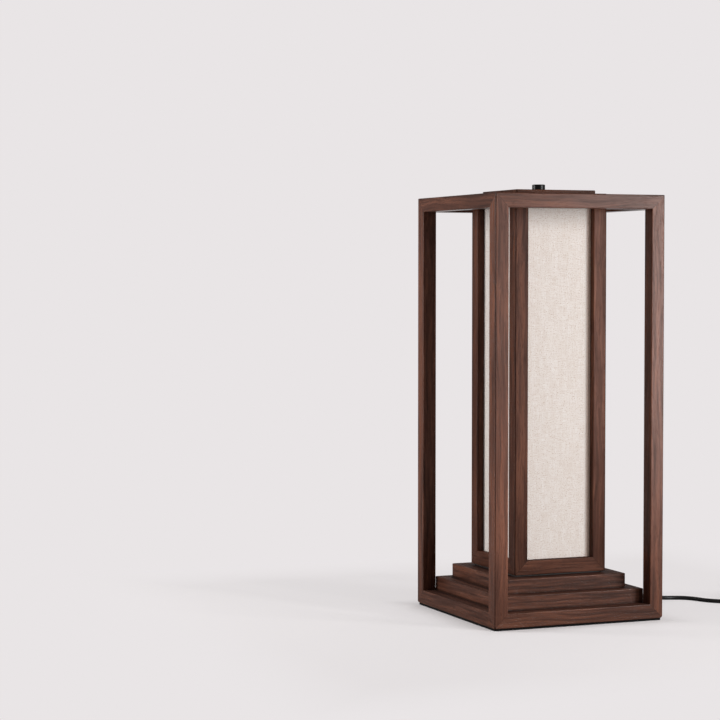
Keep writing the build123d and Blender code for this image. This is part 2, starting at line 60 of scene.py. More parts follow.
def linear(hex_colour: str, tone: float = 1.0) -> Colour:
    """Turn an sRGB colour into the linear values that shaders work in.

    Args:
        hex_colour: the colour as "#rrggbb".
        tone: 1 leaves it as it is, and 0.5 halves what it reflects.

    Returns:
        Linear red, green, blue and an alpha of 1.
    """
    channels = [int(hex_colour[i : i + 2], 16) / 255 for i in (1, 3, 5)]
    red, green, blue = (
        tone * (c / 12.92 if c <= 0.04045 else ((c + 0.055) / 1.055) ** 2.4) for c in channels
    )
    return red, green, blue, 1.0


def add_node(
    tree: bpy.types.NodeTree,
    kind: str,
    inputs: dict[str | int, Any] | Sequence[Any] = (),
    **settings: Any,
) -> bpy.types.Node:
    """Add a node to a tree.

    Args:
        tree: a material's, a world's or a Geometry Nodes tree.
        kind: the node's type, such as "ShaderNodeTexNoise".
        inputs: what the inputs get, in their own order, or by name or index: a value, an
            output socket, or a node, which stands for its first output.
        settings: the node's own properties.

    Returns:
        The new node.
    """
    node = tree.nodes.new(kind)
    for name, value in settings.items():
        setattr(node, name, value)
    given = inputs.items() if isinstance(inputs, dict) else enumerate(inputs)
    for key, value in given:
        if isinstance(value, bpy.types.Node):
            value = value.outputs[0]
        if isinstance(value, bpy.types.NodeSocket):
            tree.links.new(value, node.inputs[key])
        else:
            node.inputs[key].default_value = value
    return node


def new_material(name: str) -> tuple[bpy.types.Material, Adder]:
    """Make an empty node material.

    Args:
        name: the material's name.

    Returns:
        The material, and what adds a node to it.
    """
    material = bpy.data.materials.new(name)
    material.use_nodes = True
    material.node_tree.nodes.clear()
    return material, partial(add_node, material.node_tree)


def dress(node: str, material: bpy.types.Material) -> None:
    """Give a CAD node its material.

    Args:
        node: the node's name.
        material: the finish for all of it.
    """
    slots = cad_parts[node].data.materials
    slots.clear()
    slots.append(material)
    log.info("%s: %s", node, material.name)


def add_object(name: str, data: bpy.types.ID) -> bpy.types.Object:
    """Put a new object in the scene.

    Args:
        name: the object's name.
        data: its mesh, curve, light or camera.

    Returns:
        The object, at the origin.
    """
    made = bpy.data.objects.new(name, data)
    bpy.context.scene.collection.objects.link(made)
    return made


# --- Wood -------------------------------------------------
class Grain(Enum):
    """Which way the long grain runs."""

    ALONG_X = "x"
    ALONG_Y = "y"
    ALONG_Z = "z"
    MITRED = "mitred"  # flat boards round a square: along X at front and back, else along Y


@dataclass(frozen=True)
class MitredFrame:
    """A square frame of bars or boards that meet in mitres, each a thin dark line.

    Shade is also painted along the upright outer edges, in the inside corners, and up the
    posts from their foot.

    Args:
        width: over the posts, in plan.
        bottom: level of the underside.
        top: level of the upper side.
        foot: level at which another piece meets the outer faces, if any; shade is painted there.
        step: half the width of what stands on the upper side, if anything; shade is painted at
            its foot.
    """

    width: float
    bottom: float
    top: float
    foot: float | None = None
    step: float | None = None
    line: float = 0.45 * MM  # half the joint's visible width
    edge_shade: float = 2.0 * MM  # how far the painted shade reaches from an upright outer edge
    corner: float = 3.5 * MM  # how far the painted shade reaches from an inside corner
    foot_shade_height: float = 110.0 * MM  # how far up the posts the painted shade reaches from their foot
    core: float = 0.35  # share of each of these widths that is at its darkest
    edge_and_corner_shade: float = 0.9  # how dark the painted shade at an edge or a corner is, against a joint
    foot_shade: float = 0.42  # how dark the painted shade at the foot of a post is

    def joints_and_shade(self, add: Adder, place: bpy.types.NodeSocket, grain: Grain) -> bpy.types.Node:
        """Find the joints of the bars that run one way, and the shade painted on them.

        Args:
            add: adds a node to the material.
            place: the Object coordinates.
            grain: which way the bars run.

        Returns:
            A node that gives 1 on a joint, less where shade is painted, and 0 elsewhere.
        """
        x, y, z = add("ShaderNodeSeparateXYZ", (place,)).outputs
        half = self.width / 2
        depths = []
        for level in (x, y):
            out = add("ShaderNodeMath", (level,), operation="ABSOLUTE")
            depths.append(add("ShaderNodeMath", (half, out), operation="SUBTRACT"))
        height = add("ShaderNodeMath", (z, self.bottom), operation="SUBTRACT")
        if grain is Grain.MITRED:
            apart = add("ShaderNodeMath", depths, operation="SUBTRACT")
            gap = add("ShaderNodeMath", (apart,), operation="ABSOLUTE")
        else:
            fall = add("ShaderNodeMath", (self.top, z), operation="SUBTRACT")
            depth_z = add("ShaderNodeMath", (height, fall), operation="MINIMUM")
            across = [*depths, depth_z]
            along = across.pop("xyz".index(grain.value))
            nearest = add("ShaderNodeMath", across, operation="MAXIMUM")
            gap = add("ShaderNodeMath", (along, nearest), operation="SUBTRACT")

        # Each joint and each band of painted shade: how far it is, how wide and how dark.
        joints_and_shades = [(gap, self.line, 1.0)]
        # Painted shade along each post's upright outer edge and up from its foot.
        if grain is Grain.ALONG_Z:
            outer = add("ShaderNodeMath", depths, operation="MAXIMUM")
            joints_and_shades += [(outer, self.edge_shade, self.edge_and_corner_shade), (height, self.foot_shade_height, self.foot_shade)]
        # Painted shade in the inside corner where another piece meets the outer faces.
        if self.foot is not None:
            rise = add("ShaderNodeMath", (z, self.foot), operation="SUBTRACT")
            far = add("ShaderNodeMath", (rise,), operation="ABSOLUTE")
            joints_and_shades.append((far, self.corner, self.edge_and_corner_shade))
        # Painted shade along the foot of what stands on the upper side.
        if self.step is not None and grain is not Grain.ALONG_Z:
            rim = add("ShaderNodeMath", depths, operation="MINIMUM")
            tread = half - self.step
            past = add("ShaderNodeMath", (tread, rim), operation="SUBTRACT")
            far = add("ShaderNodeMath", (past,), operation="ABSOLUTE")
            joints_and_shades.append((far, 2 * self.corner, self.edge_and_corner_shade))
        shades = [
            add("ShaderNodeMapRange", (far, width * self.core, width, most, 0.0))
            for far, width, most in joints_and_shades
        ]
        dark = shades[0]
        for shade in shades[1:]:
            dark = add("ShaderNodeMath", (dark, shade), operation="MAXIMUM")
        return dark


@dataclass(frozen=True)
class StainedWalnut:
    """Solid walnut, red-brown stain under a satin oil.

    Straight grain with slow waves: broad bands of tone, soft streaks, fine ones between them,
    a few thin dark growth lines, and short open pores that the oil doesn't fill.
    """

    dark: str = "#40241a"
    brown: str = "#5e3a2d"
    light: str = "#7a4e3d"
    # line is the dark of growth lines, pores and joints, and of the frame's painted shade.
    line: str = "#28140d"
    wave_mm: tuple[float, float] = (50.0, 130.0)  # width and length of the slow waves
    wander: float = 8.0 * MM  # how far the grain strays from straight
    band_mm: float = 16.0
    streak_mm: float = 3.4
    fine_mm: float = 1.2
    stretch: float = 34.0  # length of a figure over its width
    streak_share: float = 0.55  # of the streaks in the tone, the bands being the rest
    fine_share: float = 0.17  # of the fine streaks, over both
    middle: float = 0.49  # of the tones, which range this far to each side
    reach: float = 0.13
    ring_mm: tuple[float, float] = (21.0, 1050.0)  # the growth lines are 1.26 widths apart
    ring_crest: Limits = (0.86, 1.0, 0.0, 0.6)  # how thin a growth line is
    ring_fade: Limits = (0.4, 0.62, 1.0, 0.15)  # how it fades in the light bands
    ring_tint: float = 0.7
    pore_mm: tuple[float, float] = (0.7, 9.0)
    pore_edge: Limits = (0.62, 0.74, 0.0, 1.0)
    pore_tint: float = 0.35
    pore_depth: float = 0.06 * MM
    # how dark the frame's joints and its painted shade are
    joint_and_shade_tint: float = 0.8
    roughness: float = 0.3
    uneven: float = 0.06  # how far the roughness strays over the middle tones
    middle_tones: tuple[float, float] = (0.35, 0.65)
    dulled: float = 0.4  # roughness that dusting and handling add to what faces up
    facing_up: tuple[float, float] = (0.6, 0.95)  # upward part of the normal: none, all of it
    specular: float = 0.16
    contrast: float = 1.0
    tone: float = 1.0  # how light this piece is, partly board difference and partly painted light and shade

    def grain_vector(
        self, add: Adder, place: bpy.types.NodeSocket, grain: Grain
    ) -> bpy.types.NodeSocket:
        """Turn the coordinates so that the grain always runs along their third axis.

        Args:
            add: adds a node to the material.
            place: the Object coordinates.
            grain: which way the grain runs.

        Returns:
            The turned coordinates.
        """
        if grain is Grain.ALONG_Z:
            return place
        x, y, z = add("ShaderNodeSeparateXYZ", (place,)).outputs
        along_x = add("ShaderNodeCombineXYZ", (y, z, x)).outputs[0]
        along_y = add("ShaderNodeCombineXYZ", (z, x, y)).outputs[0]
        if grain is Grain.ALONG_X:
            return along_x
        if grain is Grain.ALONG_Y:
            return along_y
        width = add("ShaderNodeMath", (x,), operation="ABSOLUTE")
        depth = add("ShaderNodeMath", (y,), operation="ABSOLUTE")
        beside = add("ShaderNodeMath", (width, depth), operation="GREATER_THAN")
        either = {0: beside, 4: along_x, 5: along_y}
        return add("ShaderNodeMix", either, data_type="VECTOR").outputs[1]

    def material(
        self, name: str, grain: Grain, bars: MitredFrame | None = None
    ) -> bpy.types.Material:
        """Make the material.

        Args:
            name: the material's name.
            grain: which way the grain runs.
            bars: the frame whose mitres and painted shade show, if any.

        Returns:
            The material.
        """
        material, add = new_material(name)
        place = add("ShaderNodeTexCoord").outputs["Object"]
        turned = self.grain_vector(add, place, grain)

        def stretched(source: Any, width: float, length: float) -> bpy.types.Node:
            """Return coordinates in which a figure of this size in mm is 1 by 1."""
            scale = (1 / (width * MM), 1 / (width * MM), 1 / (length * MM))
            return add("ShaderNodeMapping", {"Vector": source, "Scale": scale})

        def figure(source: Any, width: float, length: float, detail: float) -> bpy.types.Node:
            """Return noise drawn out along the grain, of this size in mm."""
            drawn = stretched(source, width, length)
            return add("ShaderNodeTexNoise", {"Vector": drawn, "Scale": 1.0, "Detail": detail})

        sway = figure(turned, *self.wave_mm, 1.0).outputs["Color"]
        centred = add("ShaderNodeVectorMath", (sway, (0.5, 0.5, 0.5)), operation="SUBTRACT")
        wander = (2 * self.wander, 2 * self.wander, 0.0)
        shift = add("ShaderNodeVectorMath", (centred, wander), operation="MULTIPLY")
        wavy = add("ShaderNodeVectorMath", (turned, shift), operation="ADD")

        bands = figure(wavy, self.band_mm, self.band_mm * self.stretch / 2, 2.0)
        streaks = figure(wavy, self.streak_mm, self.streak_mm * self.stretch, 3.0)
        fine = figure(wavy, self.fine_mm, self.fine_mm * self.stretch, 2.0)
        pores = figure(wavy, *self.pore_mm, 0.0)
        tone = bands
        for share, over in ((self.streak_share, streaks), (self.fine_share, fine)):
            tone = add("ShaderNodeMix", {0: share, 2: tone, 3: over}, data_type="FLOAT")
        ramp = add("ShaderNodeValToRGB", (tone,))
        stops = ramp.color_ramp.elements
        reach = self.reach / self.contrast
        stops[0].position, stops[0].color = self.middle - reach, linear(self.dark, self.tone)
        stops[1].position, stops[1].color = self.middle + reach, linear(self.light, self.tone)
        stops.new(0.5).color = linear(self.brown, self.tone)

        waves = {
            "Vector": stretched(wavy, *self.ring_mm),
            "Scale": 0.5,
            "Distortion": 3.0,
            "Detail": 2.0,
            "Detail Scale": 0.6,
        }
        rings = add("ShaderNodeTexWave", waves, wave_type="BANDS", bands_direction="DIAGONAL")
        crest = add("ShaderNodeMapRange", (rings.outputs[1], *self.ring_crest))
        fade = add("ShaderNodeMapRange", (bands, *self.ring_fade))
        growth = add("ShaderNodeMath", (crest, fade), operation="MULTIPLY")
        pits = add("ShaderNodeMapRange", (pores, *self.pore_edge))
        marks = [(growth, self.ring_tint), (pits, self.pore_tint)]
        # The frame adds its dark joints and its painted shade.
        if bars:
            marks.append((bars.joints_and_shade(add, place, grain), self.joint_and_shade_tint))
        colour: Any = ramp
        for mark, tint in marks:
            share = add("ShaderNodeMath", (mark, tint), operation="MULTIPLY")
            layers = {0: share, 6: colour, 7: linear(self.line, self.tone)}
            colour = add("ShaderNodeMix", layers, data_type="RGBA").outputs[2]

        normal = add("ShaderNodeNewGeometry").outputs["Normal"]
        upward = add("ShaderNodeSeparateXYZ", (normal,)).outputs["Z"]
        dust = add("ShaderNodeMapRange", (upward, *self.facing_up, 0.0, self.dulled))
        most, least = self.roughness + self.uneven, self.roughness - self.uneven
        sheen = add("ShaderNodeMapRange", (tone, *self.middle_tones, most, least))
        pitted = {"Height": pits, "Distance": self.pore_depth, "Strength": 1.0}
        inputs = {
            "Base Color": colour,
            "Roughness": add("ShaderNodeMath", (sheen, dust), operation="ADD"),
            "Normal": add("ShaderNodeBump", pitted, invert=True),
            "IOR": 1.5,
            "Specular IOR Level": self.specular,
        }
        add("ShaderNodeOutputMaterial", (add("ShaderNodeBsdfPrincipled", inputs),))
        return material


# --- Plain finishes ---------------------------------------
@dataclass(frozen=True)
class PlainFinish:
    """A moulded, painted, plated or turned surface with slight unevenness.

    Args:
        colour: sRGB colour.
        roughness: middle of the roughness range.
        metallic: 1 for bare metal, which keeps the usual IOR and specular level.
        ior: of what isn't metal.
        specular: how strongly that shines.
        mottle_mm: size of the uneven patches.
        mottle: how far the colour and the roughness stray, as a share.
        relief: height of the surface's fine texture, in metres.
    """

    colour: str
    roughness: float
    metallic: float = 0.0
    ior: float = 1.5
    specular: float = 0.5
    mottle_mm: float = 3.0
    mottle: float = 0.1
    relief: float = 0.01 * MM

    def material(self, name: str) -> bpy.types.Material:
        """Make the material.

        Args:
            name: the material's name.

        Returns:
            The material.
        """
        material, add = new_material(name)
        place = add("ShaderNodeTexCoord").outputs["Object"]
        scale = 1 / (self.mottle_mm * MM)
        patches = add("ShaderNodeTexNoise", {"Vector": place, "Scale": scale, "Detail": 4.0})
        less, more = 1 - self.mottle, 1 + self.mottle
        value = add("ShaderNodeMapRange", (patches, 0.0, 1.0, less, more))
        tint = {"Color": linear(self.colour), "Value": value}
        ends = (self.roughness * more, self.roughness * less)
        relief = {"Height": patches, "Distance": self.relief}
        inputs = {
            "Base Color": add("ShaderNodeHueSaturation", tint),
            "Roughness": add("ShaderNodeMapRange", (patches, 0.0, 1.0, *ends)),
            "Metallic": self.metallic,
            "Normal": add("ShaderNodeBump", relief),
        }
        if not self.metallic:
            inputs |= {"IOR": self.ior, "Specular IOR Level": self.specular}
        add("ShaderNodeOutputMaterial", (add("ShaderNodeBsdfPrincipled", inputs),))
        return material


# --- Linen ------------------------------------------------
@dataclass(frozen=True)
class NaturalLinen:
    """Unbleached plain-weave linen, laminated flat.

    Greige threads of uneven thickness, a few slubs along both directions, pale and dark stripes
    of the warp, and brown specks of straw left in the yarn.
    """

    pale: str = "#dfd9d5"
    greige: str = "#d3c8c0"
    slub: str = "#bfab9c"
    speck: str = "#94633f"
    painted_edge_light: str = "#f6dac8"  # painted warm light on the strip by each sheet's right-hand edge, in the groove's shade
    thread_mm: float = 1.0  # drawn coarser than the real 0.6, to show at all
    even: tuple[float, float] = (24.0, 14.0)  # how far warp and weft stay alike, in threads
    weave: Limits = (0.8, 1.2, 0.0, 1.0)
    stripe_mm: tuple[float, float] = (7.0, 80.0)
    stripes: Limits = (0.4, 0.65, 0.0, 0.35)
    slub_mm: tuple[float, float] = (1.3, 14.0)
    warp_slubs: Limits = (0.58, 0.72, 0.0, 1.0)
    weft_slubs: Limits = (0.56, 0.70, 0.0, 1.0)
    slub_tint: float = 0.25
    fleck_mm: tuple[float, float] = (1.4, 1.4)
    flecks: Limits = (0.58, 0.8, 0.0, 0.45)
    speck_mm: tuple[float, float] = (1.2, 1.5)
    specks: Limits = (0.62, 0.73, 0.0, 0.9)
    width: float = 109.2 * MM
    painted_edge_light_width: tuple[float, float] = (6.5 * MM, 11.0 * MM)  # of that painted light, from the edge: full, and gone
    relief: float = 0.12 * MM
    roughness: float = 0.92
    fuzz: float = 0.15  # of loose fibres, as sheen
    fuzz_roughness: float = 0.6

    def material(self, name: str) -> bpy.types.Material:
        """Make the material, which follows the sheet's own UV map in metres.

        Args:
            name: the material's name.

        Returns:
            The material.
        """
        material, add = new_material(name)
        cloth = add("ShaderNodeTexCoord").outputs["UV"]

        def yarn(across: float, along: float, detail: float = 2.0) -> bpy.types.Node:
            """Return noise of this size in mm across and along the sheet."""
            scale = (1 / (across * MM), 1 / (along * MM), 1.0)
            drawn = add("ShaderNodeMapping", {"Vector": cloth, "Scale": scale})
            return add("ShaderNodeTexNoise", {"Vector": drawn, "Scale": 1.0, "Detail": detail})

        warp_run, weft_run = (self.thread_mm * threads for threads in self.even)
        warp, weft = yarn(self.thread_mm, warp_run), yarn(weft_run, self.thread_mm)
        weave = add("ShaderNodeMath", (warp, weft), operation="ADD")
        thin, long = self.slub_mm
        warp_slubs = add("ShaderNodeMapRange", (yarn(thin, long), *self.warp_slubs))
        weft_slubs = add("ShaderNodeMapRange", (yarn(long, thin), *self.weft_slubs))
        slubs = add("ShaderNodeMath", (warp_slubs, weft_slubs), operation="MAXIMUM")
        # Each sheet starts at a whole metre of U.
        sideways = add("ShaderNodeSeparateXYZ", (cloth,))
        inside = add("ShaderNodeMath", (sideways,), operation="FRACT")
        full, gone = (self.width - size for size in self.painted_edge_light_width)

        # A warm light colour is painted on the strip by each sheet's right-hand edge, where the
        # groove shades it.
        colour: Any = linear(self.greige)
        for layer, limits, tint in (
            (weave, self.weave, self.pale),
            (yarn(*self.stripe_mm), self.stripes, self.greige),
            (inside, (gone, full, 0.0, 1.0), self.painted_edge_light),
            (slubs, (0.0, 1.0, 0.0, self.slub_tint), self.slub),
            (yarn(*self.fleck_mm, 0.0), self.flecks, self.slub),
            (yarn(*self.speck_mm, 1.0), self.specks, self.speck),
        ):
            share = add("ShaderNodeMapRange", (layer, *limits))
            layers = {0: share, 6: colour, 7: linear(tint)}
            colour = add("ShaderNodeMix", layers, data_type="RGBA").outputs[2]
        height = add("ShaderNodeMath", (weave, slubs), operation="ADD")
        inputs = {
            "Base Color": colour,
            "Roughness": self.roughness,
            "Normal": add("ShaderNodeBump", {"Height": height, "Distance": self.relief}),
            "Sheen Weight": self.fuzz,
            "Sheen Roughness": self.fuzz_roughness,
        }
        add("ShaderNodeOutputMaterial", (add("ShaderNodeBsdfPrincipled", inputs),))
        return material


# --- Sub-assemblies ---------------------------------------
OUTWARD = {
    "front": Vector((0, -1, 0)),
    "rear": Vector((0, 1, 0)),
    "left": Vector((-1, 0, 0)),
    "right": Vector((1, 0, 0)),
}
SIDES = tuple(OUTWARD)
CORNERS = ("front_left", "front_right", "rear_left", "rear_right")


@dataclass
class BarFrame:
    """A square frame of four posts and eight rails, whose nodes share a prefix.

    Args:
        prefix: the start of each node's name.
        walnut: the finish.
        board_and_light_tones: how light each bar is, by its name or by the start of it; partly
            painted light and shade.
    """

    prefix: str
    walnut: StainedWalnut
    board_and_light_tones: dict[str, float] = field(default_factory=dict)

    def dress(self) -> None:
        """Give each post and rail a board of its own, whose grain runs along it."""
        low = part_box(f"{self.prefix}_bottom_rail_front")[0]
        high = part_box(f"{self.prefix}_top_rail_rear")[1]
        bars = MitredFrame(width=high.y - low.y, bottom=low.z, top=high.z)
        # The lower rails lie against whatever stands inside them, and shade is painted along that
        # corner.
        lower = replace(bars, step=-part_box(f"{self.prefix}_bottom_rail_left")[1].x)
        grains = {f"post_{corner}": Grain.ALONG_Z for corner in CORNERS}
        for side, outward in OUTWARD.items():
            for level in ("bottom", "top"):
                grain = Grain.ALONG_X if outward.y else Grain.ALONG_Y
                grains[f"{level}_rail_{side}"] = grain
        for bar, grain in grains.items():
            tone = next((self.board_and_light_tones[part] for part in self.board_and_light_tones if bar.startswith(part)), 1.0)
            board = replace(self.walnut, tone=tone)
            name = f"stained_walnut_{self.prefix}_{bar}"
            sizes = lower if bar.startswith("bottom") else bars
            dress(f"{self.prefix}_{bar}", board.material(name, grain, sizes))


@dataclass
class Plinth:
    """Two steps of mitred boards, the spacers above them, and what closes the base."""

    walnut: StainedWalnut

    def dress(self) -> None:
        """Give the tiers walnut and the hidden pieces their own finishes."""
        for node, below, above in (
            ("lower_tier_boards", "cage_bottom_rail_front", "upper_tier_boards"),
            ("upper_tier_boards", "lower_tier_boards", "column_bottom_rail_rear"),
        ):
            low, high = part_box(node)
            # The boards get painted shade in the inside corners against the piece below and the
            # one above.
            boards = MitredFrame(
                width=high.x - low.x,
                bottom=low.z,
                top=high.z,
                foot=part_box(below)[1].z,
                step=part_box(above)[1].y,
            )
            name = f"stained_walnut_{node}"
            dress(node, self.walnut.material(name, Grain.MITRED, boards))
        beech = StainedWalnut(
            dark="#9a7b57",
            brown="#c4a37a",
            light="#d9bd95",
            line="#8a6a48",
            pore_depth=0.02 * MM,
            roughness=0.7,
        )
        # Plywood inside the base, as dark as painted shade where it shows in the crease between
        # rails and tier.
        stained = StainedWalnut(dark="#2c1a13", brown="#38231a", light="#432b20", roughness=0.6)
        dress("base_panel", stained.material("plywood_painted_shade", Grain.ALONG_X))
        # Fluted beech, pale and dry, seen only where a joint is open.
        dress("mitre_dowels", beech.material("beech_dowel", Grain.ALONG_Z))
        # Black enamel on the shadow strips, so that the gap under the column reads as a line.
        enamel = PlainFinish("#17130f", 0.6).material("matt_black_enamel")
        dress("column_spacers", enamel)
        # Powder coat on the steel bottom cover: dead flat with a fine orange peel.
        powder = PlainFinish("#1d1b1a", 0.72, mottle_mm=1.2, relief=0.03 * MM)
        dress("bottom_cover", powder.material("black_powder_coat"))
        # Moulded rubber strips, dull black.
        rubber = PlainFinish("#0b0a0a", 0.9, ior=1.45, specular=0.2, mottle_mm=1.5)
        dress("foot_pads", rubber.material("moulded_rubber"))


@dataclass
class LinenPanels:
    """Four sheets of linen held flat in the grooves of the column."""

    linen: NaturalLinen
    body: str = "frame"
    cut: tuple[float, float] = (110 * MM, 500 * MM)
    rows: int = 96
    columns: int = 24
    thickness: float = 0.5 * MM
    swell: float = 0.25 * MM  # how far the middle of a sheet stands out of its plane
    # The slow ripple in it, in radians over the sheet: up, how it slants, across, and its start.
    ripple: tuple[float, float, float, float] = (9.0, 4.0, 5.0, 2.0)

    def proud(self, along: float, up: float) -> float:
        """Find how far a point of a sheet stands out of its plane.

        Args:
            along: share of the width, from the left edge.
            up: share of the height.

        Returns:
            The distance in metres.
        """
        rise, slant, across, start = self.ripple
        bulge = math.sin(math.pi * along) * math.sin(math.pi * up) ** 0.5
        slow = math.sin(rise * up + slant * along) * math.sin(across * along + start)
        return self.swell * bulge * (0.5 + 0.5 * slow)

    def sheet(self, side: str, material: bpy.types.Material) -> bpy.types.Object:
        """Make one sheet in the place of its node.

        Args:
            side: the side of the column.
            material: the linen.

        Returns:
            The finished piece.
        """
        low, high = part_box(f"linen_{side}")
        outward = OUTWARD[side]
        across_x = bool(outward.y)
        face = max(abs(low.y), abs(high.y)) if across_x else max(abs(low.x), abs(high.x))
        half_width = (high.x - low.x) / 2 if across_x else (high.y - low.y) / 2
        right_hand = Vector((0, 0, 1)).cross(outward)
        mesh = bmesh.new()
        uv_layer = mesh.loops.layers.uv.new("cloth")
        grid = []
        for row in range(self.rows + 1):
            up = row / self.rows
            line = []
            for column in range(self.columns + 1):
                along = column / self.columns
                out = face - self.thickness + self.proud(along, up)
                place = right_hand * half_width * (2 * along - 1) + outward * out
                place.z = low.z + up * (high.z - low.z)
                line.append(mesh.verts.new(place))
            grid.append(line)
        for row in range(self.rows):
            for column in range(self.columns):
                corners = [(row + i, column + j) for i, j in ((0, 0), (0, 1), (1, 1), (1, 0))]
                made = mesh.faces.new([grid[i][j] for i, j in corners])
                made.smooth = True
                for loop, (i, j) in zip(made.loops, corners):
                    u = SIDES.index(side) + j / self.columns * 2 * half_width
                    loop[uv_layer].uv = (u, i / self.rows * (high.z - low.z))
        data = bpy.data.meshes.new(f"linen_sheet_{side}")
        mesh.to_mesh(data)
        mesh.free()
        data.materials.append(material)
        piece = add_object(data.name, data)
        solid = piece.modifiers.new("thickness", "SOLIDIFY")
        solid.thickness = self.thickness
        solid.offset = 1.0
        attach(piece, self.body)
        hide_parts(f"linen_{side}")
        log.info("%s: sheet of %s", data.name, material.name)
        return piece

    def build(self) -> list[bpy.types.Object]:
        """Make all four sheets.

        Returns:
            The four pieces.
        """
        material = self.linen.material("natural_linen")
        return [self.sheet(side, material) for side in SIDES]


@dataclass
class LightSource:
    """The opal sheets, the mast with its strips and chips, and the dimmer on top."""

    body: str = "frame"
    chip: tuple[float, float, float] = (2.8 * MM, 2.8 * MM, 0.7 * MM)
    chip_pitch: float = 12.5 * MM

    def chip_tree(self, material: bpy.types.Material) -> bpy.types.NodeTree:
        """Make the Geometry Nodes tree that lays one row of chips up a strip.

        Args:
            material: the chips' finish.

        Returns:
            The tree, with inputs for the row's start, its length, the pitch and the size.
        """
        tree = bpy.data.node_groups.new("chip_row", "GeometryNodeTree")
        sockets = tree.interface
        for name, kind in (
            ("Start", "NodeSocketVector"),
            ("Length", "NodeSocketFloat"),
            ("Pitch", "NodeSocketFloat"),
            ("Chip Size", "NodeSocketVector"),
        ):
            sockets.new_socket(name, in_out="INPUT", socket_type=kind)
        sockets.new_socket("Geometry", in_out="OUTPUT", socket_type="NodeSocketGeometry")
        add = partial(add_node, tree)
        given = add("NodeGroupInput").outputs
        count = add("ShaderNodeMath", (given["Length"], given["Pitch"]), operation="DIVIDE")
        step = add("ShaderNodeCombineXYZ", {"Z": given["Pitch"]})
        line = {"Count": count, "Start Location": given["Start"], "Offset": step}
        row = add("GeometryNodeMeshLine", line)
        block = add("GeometryNodeMeshCube", {"Size": given["Chip Size"]})
        placed = add("GeometryNodeInstanceOnPoints", {"Points": row, "Instance": block})
        real = add("GeometryNodeRealizeInstances", (placed,))
        finish = add("GeometryNodeSetMaterial", {"Geometry": real, "Material": material})
        add("NodeGroupOutput", (finish,))
        return tree

    def chips(self) -> None:
        """Lay a row of chips up each strip and bake it to a plain mesh."""
        # Yellow phosphor in silicone over each chip, evenly matt.
        phosphor = PlainFinish("#e8d36a", 0.5, mottle=0.04).material("led_phosphor")
        tree = self.chip_tree(phosphor)
        low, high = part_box("led_strips")
        long, wide, thick = self.chip
        for side, outward in OUTWARD.items():
            piece = add_object(f"led_chips_{side}", bpy.data.meshes.new("chips"))
            modifier = piece.modifiers.new("chip_row", "NODES")
            modifier.node_group = tree
            start = outward * (high.x + thick / 2)
            start.z = low.z + self.chip_pitch
            size = Vector((wide, thick, long)) if outward.y else Vector((thick, wide, long))
            values = {
                "Start": start,
                "Length": high.z - low.z - self.chip_pitch,
                "Pitch": self.chip_pitch,
                "Chip Size": size,
            }
            for item in tree.interface.items_tree:
                if item.in_out == "INPUT":
                    modifier[item.identifier] = values[item.name]
            bake(piece)
            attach(piece, self.body)

    def dress(self) -> None:
        """Finish the opal sheets, the mast, the driver and the dimmer."""
        # Opal acrylic: milk white all through, with a fine matt face.
        opal = PlainFinish("#e9e6df", 0.55, ior=1.49, mottle=0.02)
        dress("diffusers", opal.material("opal_acrylic"))
        # Clear anodised extrusion: pale grey with a soft even shine.
        anodised = PlainFinish("#c9cacb", 0.42, metallic=1.0, mottle_mm=0.8, mottle=0.05)
        aluminium = anodised.material("clear_anodised_aluminium")
        for node in ("led_mast", "mast_foot"):
            dress(node, aluminium)
        # White solder mask on the circuit strips.
        dress("led_strips", PlainFinish("#ecebe4", 0.4, mottle=0.03).material("solder_mask"))
        # Moulded polycarbonate case.
        case = PlainFinish("#dcdbd8", 0.5, ior=1.58).material("white_polycarbonate")
        dress("led_driver", case)
        # Phenolic dimmer body, dull black.
        dress("dimmer_body", PlainFinish("#1a1918", 0.6).material("black_phenolic"))
        # Turned brass nut, shaft and plug blades: warm, with fine lathe bloom.
        brass = PlainFinish("#c8a45e", 0.28, metallic=1.0, mottle_mm=0.6).material("turned_brass")
        for node in ("dimmer_nut", "dimmer_shaft", "plug_blades"):
            dress(node, brass)


def bake(piece: bpy.types.Object) -> None:
    """Turn a piece with modifiers into a plain mesh and drop the modifiers.

    Args:
        piece: the piece, at the origin.
    """
    graph = bpy.context.evaluated_depsgraph_get()
    made = bpy.data.meshes.new_from_object(piece.evaluated_get(graph))
    made.name = piece.name
    piece.modifiers.clear()
    piece.data = made


@dataclass
class TopPlate:
    """The lid of the column, its screws and the knob."""

    walnut: StainedWalnut

    def dress(self) -> None:
        """Finish the plate, the screws and the knob."""
        dress("top_plate", self.walnut.material("stained_walnut_plate", Grain.ALONG_X))
        # Black oxide on steel: a thin dark skin that still shines a little.
        oxide = PlainFinish("#211f1e", 0.38, mottle_mm=0.8).material("black_oxide_steel")
        dress("plate_screws", oxide)
        # Bright zinc plate on the hidden screws.
        zinc = PlainFinish("#b9babb", 0.32, metallic=1.0, mottle_mm=0.7).material("zinc_plate")
        for node in ("base_screws", "column_screws", "cover_screws", "mast_screws"):
            dress(node, zinc)
        # Injection-moulded ABS knob with a polished wall: black with sharp, narrow highlights.
        knob = PlainFinish(
            "#100e0e", 0.3, ior=1.54, specular=0.2, mottle_mm=2.0, relief=0.004 * MM
        )
        dress("knob", knob.material("black_abs"))


